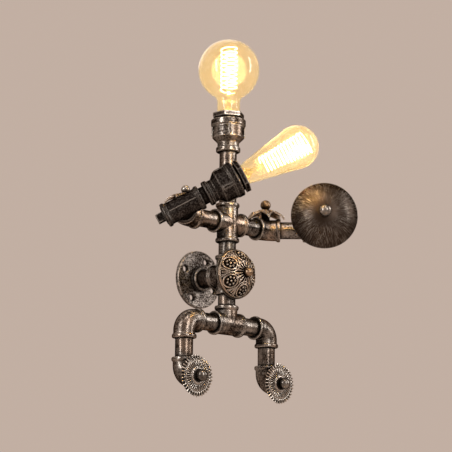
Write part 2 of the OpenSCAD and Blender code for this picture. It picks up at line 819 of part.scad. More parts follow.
module right_leg_pipe() leg_pipe(1);
module right_foot_elbow() foot_elbow(1);
module right_foot_plug() foot_plug(1);
module right_rosette() foot_rosette(1);
module right_foot_ball() foot_ball(1);

// Left arm
module left_arm_elbow() color(iron) at_left_elbow() {
    rotate([180, 0, 0]) arm_elbow();
    post(petal_post);
}
module left_petal_cap() color(bronze) at_left_elbow() petal_cap(left_heading);
module left_petal_bolt() color(nickel) at_left_elbow() petal_bolt(left_ball_d);
module left_arm_nipple() color(dark_iron) at_left_elbow() to_heading(left_heading)
    translate([0, 0, arm_elbow_reach]) pipe(wrist_show);
module left_arm_flex() color(rubber) at_left_elbow() rotate([180, 0, 0]) {
    leg = arm_elbow_reach - thread_depth - seat_gap;
    tangent = flex_bend * tan(arm_turn / 2);
    translate([tangent, flex_bend, 0]) rotate([0, 0, 270 - arm_turn]) flex_turn(arm_turn);
    start = tangent - elbow_lap;
    to_right() translate([0, 0, start]) flex_run(leg - start, lap_step);
    to_heading(180 - arm_turn) translate([0, 0, start])
        flex_run(arm_elbow_reach + wrist_show + thread_depth - start, lap_step);
}

// Lamp on the left arm
module lamp_tee() color(dark_iron) at_lamp() tee(tee_reach, [90]);
module lamp_plug() color(dark_iron) at_lamp() mirror([0, 0, 1]) {
    translate([0, 0, tee_reach - thread_depth]) cylinder(r = pipe_r, h = thread_depth + fuse);
    translate([-plug_square / 2, -plug_square / 2, tee_reach]) cube([plug_square, plug_square, plug_head]);
}
module lamp_nipple() color(dark_iron) at_lamp() translate([0, 0, tee_reach]) pipe(lamp_show);
module lamp_cup() color(dark_iron) at_lamp_cup() cup(lamp_rib_angle);
module lamp_hex() color(dark_iron) at_lamp_cup() hex_bush(lamp_hex_angle);
module lamp_holder() color(ceramic) at_lamp_cup() holder();
module lamp_contacts() color(brass) at_lamp_cup() contacts();
module lamp_flex() color(rubber) at_lamp() {
    start = tee_reach - thread_depth - seat_gap;
    to_wall() translate([0, 0, flex_bend]) flex_run(start - flex_bend);
    flex_corner();
    translate([0, 0, flex_bend]) flex_run(tee_reach + lamp_show + cup_flare_h - seat_gap - flex_bend);
}
module pear_glass() color(amber) at_lamp_cup() translate([0, 0, cap_top + seat_gap]) difference() {
    pear_form(0);
    translate([0, 0, glass_wall]) pear_form(glass_wall);
}
module pear_cap() color(brass) at_lamp_cup() bulb_cap();
module pear_tip() color(rubber) at_lamp_cup() bulb_tip();
module pear_filament() color(amber) at_lamp_cup() translate([0, 0, cap_top + seat_gap + glass_wall])
    filament(pear_coil_h, pear_len - pear_d / 4 - pear_coil_h);

// Right arm
module right_arm_elbow() color(iron) at_right_elbow() {
    rotate([0, 0, 180]) arm_elbow();
    post(petal_post);
}
module right_petal_cap() color(bronze) at_right_elbow() petal_cap(right_heading);
module right_petal_bolt() color(nickel) at_right_elbow() petal_bolt(right_ball_d);
module forearm_pipe() color(iron) at_right_elbow() to_heading(right_heading)
    translate([0, 0, arm_elbow_reach]) pipe(forearm_show);
module wrist_elbow() color(iron) at_wrist() rotate([0, 0, right_heading + 180]) elbow();

// Shield
module shield_pipe() color(iron) at_wrist() to_heading(shield_heading)
    translate([0, 0, elbow_reach]) pipe(shield_show);
module shield_end_cap() color(iron) at_wrist() to_heading(shield_heading)
    translate([0, 0, shield_cap_face]) difference() {
        translate([0, 0, -end_cap_len]) cylinder(r = body_r, h = end_cap_len);
        translate([0, 0, -end_cap_len - past])
            cylinder(r = pipe_r + thread_gap, h = seat_depth + past);
        translate([0, 0, -end_cap_len])
            cylinder(r = shield_bolt_d / 2 + thread_gap, h = end_cap_len + past);
    }
module shield_dome() color(dark_iron) at_shield() {
    dome(shield_d, shield_depth, shield_wall, shield_bolt_d + 2 * spin_gap);
    bead(shield_d, shield_bead_d);
}
module shield_bolt() color(nickel) at_shield() translate([0, 0, shield_depth + seat_gap])
    ball_bolt(shield_ball_d, shield_bolt_d + 2 * ball_seat, shield_bolt_d,
        shield_rim + shield_depth + seat_gap - shield_cap_face + end_cap_len - seat_depth);

wall_flange();
cable_bush();
wall_nipple();
belly_tee();
torso_pipe();
waist_pipe();
shoulder_cross();
neck_pipe();
hip_tee();
hip_nipples();
shoulder_nipples();
head_cup();
head_hex();
head_holder();
head_contacts();
house_flex();
medallion();
medallion_bolt();
left_hip_elbow();
left_leg_pipe();
left_foot_elbow();
left_foot_plug();
left_rosette();
left_foot_ball();
right_hip_elbow();
right_leg_pipe();
right_foot_elbow();
right_foot_plug();
right_rosette();
right_foot_ball();
left_arm_elbow();
left_petal_cap();
left_petal_bolt();
left_arm_nipple();
left_arm_flex();
lamp_tee();
lamp_plug();
lamp_nipple();
lamp_cup();
lamp_hex();
lamp_holder();
lamp_contacts();
lamp_flex();
globe_glass();
globe_cap();
globe_tip();
globe_filament();
pear_glass();
pear_cap();
pear_tip();
pear_filament();
right_arm_elbow();
right_petal_cap();
right_petal_bolt();
forearm_pipe();
wrist_elbow();
shield_pipe();
shield_end_cap();
shield_dome();
shield_bolt();
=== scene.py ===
"""Looks of a robot wall lamp made of iron pipe fittings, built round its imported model."""
import json
import math

import bpy
from bpy.props import FloatProperty, FloatVectorProperty, IntProperty, PointerProperty
from mathutils import Matrix, Vector, noise


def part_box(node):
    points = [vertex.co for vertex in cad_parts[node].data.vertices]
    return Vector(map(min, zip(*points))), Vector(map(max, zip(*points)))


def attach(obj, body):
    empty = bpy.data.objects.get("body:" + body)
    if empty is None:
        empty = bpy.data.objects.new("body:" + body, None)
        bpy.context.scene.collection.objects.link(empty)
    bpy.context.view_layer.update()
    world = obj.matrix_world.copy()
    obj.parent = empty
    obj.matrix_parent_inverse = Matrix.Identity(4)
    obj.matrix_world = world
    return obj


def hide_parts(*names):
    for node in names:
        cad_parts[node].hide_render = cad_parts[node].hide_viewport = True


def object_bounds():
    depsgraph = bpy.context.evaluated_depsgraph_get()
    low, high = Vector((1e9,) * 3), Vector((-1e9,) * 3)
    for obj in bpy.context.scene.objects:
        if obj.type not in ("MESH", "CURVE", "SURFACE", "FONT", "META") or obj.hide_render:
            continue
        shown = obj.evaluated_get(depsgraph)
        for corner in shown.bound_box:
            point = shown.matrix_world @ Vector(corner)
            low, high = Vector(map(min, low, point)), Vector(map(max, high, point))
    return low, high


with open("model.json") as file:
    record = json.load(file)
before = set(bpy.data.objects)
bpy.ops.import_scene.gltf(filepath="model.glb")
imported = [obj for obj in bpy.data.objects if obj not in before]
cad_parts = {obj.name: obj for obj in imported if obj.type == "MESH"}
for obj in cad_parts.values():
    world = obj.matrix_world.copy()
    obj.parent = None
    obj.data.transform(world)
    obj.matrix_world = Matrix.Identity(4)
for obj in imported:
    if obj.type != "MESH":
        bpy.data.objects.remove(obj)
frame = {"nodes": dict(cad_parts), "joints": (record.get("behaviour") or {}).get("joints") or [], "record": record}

bl_info = {
    "name": "Robot wall lamp",
    "version": (1, 0, 0),
    "blender": (4, 5, 0),
    "location": "View3D > Sidebar > Lamp",
    "description": "Dresses the wall lamp: castings, ornaments, bulbs, finishes and stage",
    "category": "Object",
}

CAD_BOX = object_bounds()
NODES = frame["nodes"]
BODY_OF = {n: b for b, ns in frame["record"]["behaviour"]["bodies"].items() for n in ns}
SLOT_OF = {s["node"]: s["material_slot"] for s in frame["record"]["subparts"]}
JOINTS = {j["name"]: j for j in frame["joints"]}
MM = 0.001
FULL_TURN = 2 * math.pi
SIDES = ("left", "right")

# Cast nodes that get soft edges, by the size of the voxels they are remeshed at and the rounds of smoothing
CASTINGS = {
    (0.0007, 5): ["belly_tee", "shoulder_cross", "hip_tee", "left_hip_elbow", "left_foot_elbow",
                  "right_hip_elbow", "right_foot_elbow", "left_arm_elbow", "right_arm_elbow", "wrist_elbow",
                  "lamp_tee", "wall_flange"],
    (0.0005, 3): ["head_cup", "lamp_cup", "head_hex", "lamp_hex", "lamp_plug"],
}
# Softboxes: place from the lamp's middle, width, height and share of the key light's power
SOFTBOXES = {
    "left_softbox": ((-1.3, 0.08, 0.3), 0.2, 1.0, 1.0),
    "front_softbox": ((-0.3, -1.3, 0.3), 0.21, 1.0, 1.0),
    "right_softbox": ((0.95, -0.95, 0.55), 0.2, 1.1, 1.0),
    "top_softbox": ((-0.5, -0.6, 1.3), 0.34, 0.34, 0.5),
    "back_softbox": ((0.2, 1.0, 1.2), 1.5, 1.5, 0.6),
}
# Nodes whose finish differs from the others of their slot
FINISH_OF = {
    "medallion": "waxed_ground",
    "medallion_bolt": "bronze_ball",
    "right_petal_bolt": "bronze_ball",
    "left_foot_ball": "steel_ball",
    "right_foot_ball": "steel_ball",
}


def colour(label, words, default):
    """A colour that a user can change."""
    return FloatVectorProperty(name=label, description=words, subtype="COLOR", size=3, min=0, max=1,
                               default=default)


def length(label, words, millimetres):
    """A length that a user can change."""
    return FloatProperty(name=label, description=words, unit="LENGTH", subtype="DISTANCE", min=0,
                         default=millimetres * MM)


def number(label, words, default, **limits):
    """A plain number that a user can change."""
    return FloatProperty(name=label, description=words, default=default, **{"min": 0, **limits})


def tilt(label, words, degrees):
    """An angle that a user can change."""
    return FloatProperty(name=label, description=words, subtype="ANGLE", default=math.radians(degrees))


def repeats(label, words, default, least):
    """A number of repeats that a user can change."""
    return IntProperty(name=label, description=words, default=default, min=least)


class LampColours(bpy.types.PropertyGroup):
    """Colours of the finishes."""
    oxide: colour("Oxide", "Dark skin of the iron castings and pipes", (0.018, 0.012, 0.009))
    rub: colour("Rubbed iron", "Bare metal where the skin is rubbed off", (0.52, 0.475, 0.43))
    copper: colour("Copper wash", "Warm wash over the rubbed metal", (0.44, 0.27, 0.16))
    # Painted shade: a dark tint of the metals' gloss at a grazing angle darkens their outlines, as a dark room
    # round them would
    grazing_shade: colour("Grazing gloss", "Tint of the metals' gloss at a grazing angle", (0.17, 0.14, 0.12))
    bright: colour("Worn edge", "Metal laid bare on the edges", (0.78, 0.72, 0.65))
    # Darker than the other iron: partly blackened iron, partly painted shade, as the lamp arm is lit less
    black: colour("Blackened iron", "Skin of the lamp arm", (0.012, 0.009, 0.008))
    shield: colour("Shield iron", "Skin of the shield", (0.034, 0.024, 0.018))
    grey: colour("Grey iron", "Rubbed patches of the wall flange", (0.52, 0.47, 0.43))
    # Dark wax of the ornaments; it is also the colour of the painted shade in the recesses and creases of every
    # rubbed metal
    wax_and_shade: colour("Dark wax", "Dark wax in the ornaments' recesses", (0.005, 0.0035, 0.0025))
    bronze: colour("Antique bronze", "Rubbed bronze of the ornaments", (0.50, 0.36, 0.24))
    silver: colour("Antique silver", "Rubbed metal of the rosettes", (0.66, 0.61, 0.56))
    nickel: colour("Antique nickel", "Polished balls", (0.42, 0.38, 0.34))
    glass: colour("Amber glass", "Glass of the bulbs", (1.0, 0.93, 0.76))
    glow: colour("Bulb glow", "Glow of the lit glass", (1.0, 0.72, 0.22))
    filament: colour("Filament", "Light of the filaments", (1.0, 0.80, 0.42))
    backdrop: colour("Backdrop", "Pale backdrop", (0.54, 0.43, 0.365))


class OrnamentSizes(bpy.types.PropertyGroup):
    """Sizes of the ornaments and the bulbs."""
    cartouches: repeats("Cartouches", "Oval frames on the medallion", 6, 3)
    flutes: repeats("Flutes", "Flutes round the medallion's ball", 16, 6)
    relief: length("Relief", "Height of the medallion's strokes above its dome", 1.9)
    pleats: repeats("Pleats", "Pleats of a foot rosette", 36, 12)
    pleat_depth: length("Pleat depth", "Depth of a rosette's pleats at its edge", 2.6)
    petals: repeats("Petals", "Petals of a petal cap", 6, 4)
    medallion_bead: length("Medallion bead", "Diameter of the bead round the medallion", 3.6)
    rosette_rise: length("Rosette rise", "Height of a rosette's middle above its seat", 4)
    rosette_hole: length("Rosette hole", "Hole in a rosette for its stud", 8.1)
    petal_tip: length("Petal tip", "Distance of a petal's tip from the middle", 31.5)
    petal_notch: length("Petal notch", "Distance of a notch between petals from the middle", 21.5)
    petal_drop: length("Petal drop", "Height of a petal cap's top above its tips", 18)
    petal_hole: length("Petal hole", "Hole in a petal cap for its bolt", 8.1)
    petal_bead: length("Petal bead", "Width of the bead along the petals", 2.2)
    petal_wall: length("Petal wall", "Thickness of a petal cap", 1.8)
    tee_collar: length("Tee collar", "Length of the lamp tee's collars", 9)
    tee_body: length("Tee body", "Diameter of the lamp tee between its collars", 32.4)
    mould_line: length("Mould line", "Width of the mould line along the lamp tee", 2)
    glass_wall: length("Glass wall", "Thickness of the bulbs' glass", 0.9)
    wire: length("Filament wire", "Diameter of a filament as it glows", 1.4)
    coil: length("Filament coil", "Diameter of a filament's coil", 25)
    globe_neck: length("Globe neck", "Diameter of the globe's neck", 35.4)
    globe_curve: length("Globe curve", "Radius of the hollow curve from the neck to the globe", 14)
    pear_neck: length("Pear neck", "Diameter of the pear's neck", 29)
    bulb_cap: length("Bulb cap", "Diameter of a bulb's screw cap", 26.4)
    globe_coil: length("Globe coil", "Height of the globe's filament", 70)
    pear_coil: length("Pear coil", "Height of the pear's filament", 74)
    pear_flare: number("Pear flare", "How much wider the pear's filament ends", 1.35, min=0.5)
    globe_turns: repeats("Globe turns", "Turns of the globe's coil", 10, 3)
    pear_turns: repeats("Pear turns", "Turns of the pear's coil", 14, 3)


class StageSettings(bpy.types.PropertyGroup):
    """Camera and lights."""
    camera_place: FloatVectorProperty(name="Camera", description="Place of the camera", size=3,
                                      subtype="TRANSLATION", unit="LENGTH",
                                      default=(-1.5397, -1.6790, -0.3650))
    camera_yaw: tilt("Yaw", "Turn of the camera from +Y to +X", 43.63)
    camera_pitch: tilt("Pitch", "Upward tilt of the camera", 11.19)
    camera_roll: tilt("Roll", "Roll of the camera", 0.57)
    lens: number("Lens", "Focal length for a 36 mm sensor, in millimetres", 118.98, min=1)
    floor_drop: length("Floor", "Height of the lamp's feet above the floor", 400)
    floor_glow: number("Floor glow", "How evenly pale the floor shows", 0.74, max=1)
    daylight: number("Daylight", "Strength of the even light", 0.22)
    key: number("Key light", "Power of each upright softbox in watts", 8.5)
    bulb_light: number("Bulb light", "Power of each lit bulb in watts", 2.7)
    filament_glow: number("Filament glow", "Brightness of the filaments", 9)
    glass_glow: number("Glass glow", "Brightness of the lit glass", 0.05)


# Modelling helpers

def clear_selection():
    """Leave edit mode and select nothing."""
    active = bpy.context.view_layer.objects.active
    if active and active.mode != "OBJECT":
        bpy.ops.object.mode_set(mode="OBJECT")
    bpy.ops.object.select_all(action="DESELECT")


def new_object(name, data):
    """A new object in the scene."""
    obj = bpy.data.objects.new(name, data)
    bpy.context.scene.collection.objects.link(obj)
    return obj


def pick(obj, *others):
    """Select these objects, the first of them active."""
    clear_selection()
    for each in (obj, *others):
        each.select_set(True)
    bpy.context.view_layer.objects.active = obj


def edit(obj):
    """Go into edit mode with all of the mesh selected."""
    pick(obj)
    bpy.ops.object.mode_set(mode="EDIT")
    bpy.ops.mesh.select_all(action="SELECT")


def merge(obj, distance=0.00002):
    """Merge doubles and turn the faces outwards."""
    edit(obj)
    bpy.ops.mesh.remove_doubles(threshold=distance)
    bpy.ops.mesh.normals_make_consistent(inside=False)
    bpy.ops.object.mode_set(mode="OBJECT")


def apply_modifier(obj, kind, **settings):
    """Add a modifier and apply it."""
    pick(obj)
    modifier = obj.modifiers.new(kind.lower(), kind)
    for key, value in settings.items():
        setattr(modifier, key, value)
    bpy.ops.object.modifier_apply(modifier=modifier.name)


def join(objs):
    """Join objects into the first one."""
    pick(*objs)
    bpy.ops.object.join()
    return objs[0]


def smooth(obj, degrees=180):
    """Shade smooth, up to an angle between faces."""
    pick(obj)
    bpy.ops.object.shade_smooth_by_angle(angle=math.radians(degrees))


def place(obj, matrix):
    """Move the mesh to its place and leave the object at the origin."""
    obj.matrix_world = matrix
    pick(obj)
    bpy.ops.object.transform_apply(location=True, rotation=True, scale=True)


def settle(obj, matrix, degrees=180):
    """Shade a piece smooth and move it to its place."""
    smooth(obj, degrees)
    place(obj, matrix)


def dress(obj, name, body, slot, *nodes, finish=None):
    """Name a finished piece, give it its material and let it ride."""
    obj.name = name
    obj.data.name = name
    obj.data.materials.clear()
    obj.data.materials.append(finishes()[finish or slot])
    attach(obj, body)
    if nodes:
        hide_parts(*nodes)


def spin(obj, count, angle, copies):
    """Spin a mesh round the Z axis, as copies or as a skin."""
    edit(obj)
    bpy.ops.mesh.spin(steps=count, angle=angle, dupli=copies, center=(0, 0, 0), axis=(0, 0, 1))
    bpy.ops.object.mode_set(mode="OBJECT")


def copies_round(obj, count):
    """Repeat a mesh round the Z axis."""
    spin(obj, count - 1, FULL_TURN * (count - 1) / count, True)


def lathe(outline, segments=96):
    """Spin an outline of (radius, height) points round the Z axis."""
    data = bpy.data.meshes.new("outline")
    data.from_pydata([(r, 0, z) for r, z in outline], [(i, i + 1) for i in range(len(outline) - 1)], [])
    obj = new_object("outline", data)
    spin(obj, segments, FULL_TURN, False)
    merge(obj)
    return obj


def press(piece, wall, bevel):
    """Give a sheet its thickness and soft edges."""
    apply_modifier(piece, "SOLIDIFY", thickness=wall, offset=-1)
    apply_modifier(piece, "BEVEL", width=bevel, segments=2, limit_method="ANGLE",
                   angle_limit=math.radians(50))


def sheet_from(function, across, along):
    """A grid whose points are given by a function of two numbers from 0 to 1."""
    clear_selection()
    bpy.ops.mesh.primitive_grid_add(x_subdivisions=across, y_subdivisions=along, size=1)
    obj = bpy.context.object
    for vertex in obj.data.vertices:
        vertex.co = function(vertex.co.x + 0.5, vertex.co.y + 0.5)
    return obj


def stroke(points, radii, sides=3, closed=False):
    """A round stroke through points, with a radius at each of them."""
    data = bpy.data.curves.new("stroke", "CURVE")
    data.dimensions = "3D"
    data.bevel_depth = 1
    data.bevel_resolution = sides
    data.use_fill_caps = not closed
    spline = data.splines.new("POLY")
    spline.points.add(len(points) - 1)
    spline.use_cyclic_u = closed
    for target, point, radius in zip(spline.points, points, radii):
        target.co = (*point, 1)
        target.radius = radius
    pick(new_object("stroke", data))
    bpy.ops.object.convert(target="MESH")
    return bpy.context.object


def steps(count):
    """Even steps from 0 to 1, both ends included."""
    return [i / count for i in range(count + 1)]


def along(start, end, share):
    """The value that lies a share of the way from start to end."""
    return start + (end - start) * share


def ease(share):
    """A share from 0 to 1 that starts and ends slowly."""
    share = min(max(share, 0), 1)
    return share * share * (3 - 2 * share)


def dome_radius(rim, depth):
    """Radius of the ball that a dome of this rim and depth is cut from."""
    return (rim * rim + depth * depth) / (2 * depth)


def axis_frame(joint):
    """A frame on a joint: its axis is local Z, and local Y leans as far up as it can."""
    z_axis = Vector(joint["axis"]).normalized()
    up = Vector((0, 0, 1)) if abs(z_axis.z) < 0.99 else Vector((0, 1, 0))
    x_axis = up.cross(z_axis).normalized()
    y_axis = z_axis.cross(x_axis)
    matrix = Matrix((x_axis, y_axis, z_axis)).transposed().to_4x4()
    return Matrix.Translation(Vector(joint["pos_m"])) @ matrix


def facing_out(low, high, y):
    """A frame at the middle of a box and at this depth, its Z axis pointing out from the wall."""
    centre = Vector(((low.x + high.x) / 2, y, (low.z + high.z) / 2))
    return Matrix.Translation(centre) @ Matrix.Rotation(math.pi / 2, 4, "X")


def reach(node, matrix):
    """Lowest and highest height of a node along a frame's Z axis, and its largest radius round it."""
    inverse = matrix.inverted()
    points = [inverse @ v.co for v in NODES[node].data.vertices]
    heights = [p.z for p in points]
    return min(heights), max(heights), max(math.hypot(p.x, p.y) for p in points)


# Shader helpers

class Shader:
    """Adds nodes to a node tree, each input a value or another node's socket."""

    def __init__(self, tree):
        self.tree = tree

    def add(self, kind, inputs=None, **properties):
        node = self.tree.nodes.new(kind)
        for key, value in properties.items():
            setattr(node, key, value)
        self.feed(node, inputs or {})
        return node

    def feed(self, node, inputs):
        """Set a node's inputs."""
        for key, value in inputs.items():
            if isinstance(value, bpy.types.NodeSocket):
                self.tree.links.new(value, node.inputs[key])
            else:
                node.inputs[key].default_value = value

    def math(self, operation, a, b=0.0, clamp=False):
        return self.add("ShaderNodeMath", {0: a, 1: b}, operation=operation, use_clamp=clamp).outputs[0]

    def mix(self, a, b, share):
        """Mix two colours."""
        return self.add("ShaderNodeMix", {0: share, 6: a, 7: b}, data_type="RGBA").outputs[2]

    def blend(self, a, b, share):
        """Mix two numbers."""
        return self.add("ShaderNodeMix", {0: share, 2: a, 3: b}, data_type="FLOAT").outputs[0]

    def ramp(self, value, low, high):
        """0 below low, 1 above high, smooth between."""
        node = self.add("ShaderNodeMapRange", {0: value, 1: low, 2: high}, interpolation_type="SMOOTHSTEP")
        return node.outputs[0]

    def noise(self, vector, scale, detail=4.0, roughness=0.55, distortion=0.0):
        node = self.add("ShaderNodeTexNoise", {"Vector": vector, "Scale": scale, "Detail": detail,
                                               "Roughness": roughness, "Distortion": distortion})
        return node.outputs["Fac"]

    def bump(self, height, distance, strength):
        inputs = {"Height": height, "Distance": distance, "Strength": strength}
        return self.add("ShaderNodeBump", inputs).outputs[0]

    def place(self):
        """Object coordinates."""
        return self.add("ShaderNodeTexCoord").outputs["Object"]


def rgba(rgb):
    """A colour with full alpha."""
    return (*rgb, 1.0)


def new_group(name, inputs, outputs):
    """A shader node group of number sockets: its tree, helper, incoming sockets and output node."""
    tree = bpy.data.node_groups.new(name, "ShaderNodeTree")
    for way, labels in (("INPUT", inputs), ("OUTPUT", outputs)):
        for label in labels:
            tree.interface.new_socket(label, in_out=way, socket_type="NodeSocketFloat")
    shader = Shader(tree)
    return tree, shader, shader.add("NodeGroupInput").outputs, shader.add("NodeGroupOutput")


def wear_and_shade_group():
    """Masks for worn edges, and for painted shade in hollows and creases."""
    tree, s, given, out = new_group("edge_wear_and_shade", ("Radius", "Distance", "Open"), ("Edge", "RecessShade"))
    normal = s.add("ShaderNodeNewGeometry").outputs["Normal"]
    soft = s.add("ShaderNodeBevel", {"Radius": given["Radius"]}, samples=6).outputs[0]
    dot = s.add("ShaderNodeVectorMath", {0: soft, 1: normal}, operation="DOT_PRODUCT").outputs["Value"]
    bend = s.math("SUBTRACT", 1.0, dot)
    wide, near = (s.add("ShaderNodeAmbientOcclusion", {"Distance": distance}, samples=samples).outputs["AO"]
                  for distance, samples in ((given["Distance"], 8), (0.0035, 6)))
    edge = s.math("MULTIPLY", s.ramp(bend, 0.002, 0.045), s.ramp(wide, 0.5, 0.85))
    # Painted shade: darker where ambient occlusion finds the surface closed in, over the given reach and over 3.5
    # mm
    hollow = s.math("SUBTRACT", 1.0, s.ramp(wide, given["Open"], 0.97))
    crease_shade = s.math("SUBTRACT", 1.0, s.ramp(near, 0.55, 0.97))
    s.feed(out, {"Edge": edge, "RecessShade": s.math("MAXIMUM", hollow, crease_shade)})
    return tree


def rubbed_group():
    """Masks of a rubbed antique finish: bare metal, copper wash, speckle and the height of the grain."""
    tree, s, given, out = new_group(
        "rubbed_finish", ("Rub", "Mottle"), ("Bare", "Copper", "Speckle", "Height"))
    place_of = s.place()
    clouds = s.ramp(s.noise(place_of, 42.0, 4.0, 0.6, 0.4), 0.28, 0.74)
    speckle = s.noise(place_of, 430.0, 5.0, 0.68)
    pits = s.noise(place_of, 1300.0, 2.0, 0.5)
    soft = s.math("MULTIPLY", given["Rub"], s.math("ADD", s.math("MULTIPLY", clouds, 1.5), 0.15))
    fine = s.math("MULTIPLY", s.math("SUBTRACT", s.ramp(speckle, 0.34, 0.66), 0.5), given["Mottle"])
    bare = s.math("ADD", soft, fine, clamp=True)
    copper = s.ramp(s.noise(place_of, 20.0, 3.0, 0.5, 0.3), 0.44, 0.66)
    height = s.math("ADD", s.math("MULTIPLY", speckle, 0.7), s.math("MULTIPLY", pits, 0.3))
    s.feed(out, {"Bare": bare, "Copper": copper, "Speckle": speckle, "Height": height})
    return tree


def new_material(name):
    """An empty material, its helper and its Principled shader."""
    material = bpy.data.materials.new(name)
    material.use_nodes = True
    material.node_tree.nodes.clear()
    s = Shader(material.node_tree)
    principled = s.add("ShaderNodeBsdfPrincipled")
    s.add("ShaderNodeOutputMaterial", {"Surface": principled.outputs[0]})
    return material, s, principled


# Rubbed metals by slot: name; colours of skin, bare metal and wash; shares of bare metal, mottling and edge
# wear; roughness; height of the grain in mm; whether it is an ornament, whose painted shade keeps to fine recesses
RUBBED = {
    "cast_iron": ("aged_cast_iron", "oxide", "rub", "copper", 0.32, 0.44, 1.0, 0.25, 0.20, False),
    "iron_pipe": ("aged_iron_pipe", "oxide", "rub", "copper", 0.31, 0.36, 0.7, 0.24, 0.13, False),
    "flange_iron": ("mottled_flange_iron", "oxide", "grey", "rub", 0.32, 1.0, 0.8, 0.36, 0.45, False),
    # The lamp arm: partly blackened iron, partly painted shade, as it is lit less
    "black_iron": ("blackened_iron_and_shade", "black", "rub", "rub", 0.03, 0.20, 0.5, 0.32, 0.36, False),
    "antique_bronze": ("antique_bronze", "wax_and_shade", "bronze", "copper", 0.60, 0.40, 0.9, 0.24, 0.12, True),
    "petal_bronze": ("petal_bronze", "wax_and_shade", "bronze", "copper", 0.50, 0.30, 1.0, 0.27, 0.15, True),
    "waxed_ground": ("waxed_bronze_ground", "wax_and_shade", "bronze", "copper", 0.06, 0.10, 0.5, 0.40, 0.20, True),
    "rosette_metal": ("antique_silver", "wax_and_shade", "silver", "copper", 0.56, 0.45, 1.0, 0.16, 0.12, True),
    "ball_nickel": ("polished_nickel", "wax_and_shade", "nickel", "nickel", 0.95, 0.12, 0.0, 0.24, 0.04, False),
    "steel_ball": ("dark_steel_ball", "wax_and_shade", "nickel", "nickel", 0.36, 0.10, 0.0, 0.26, 0.04, False),
    "bronze_ball": ("bronze_ball", "wax_and_shade", "bronze", "copper", 0.55, 0.14, 0.0, 0.28, 0.06, False),
}


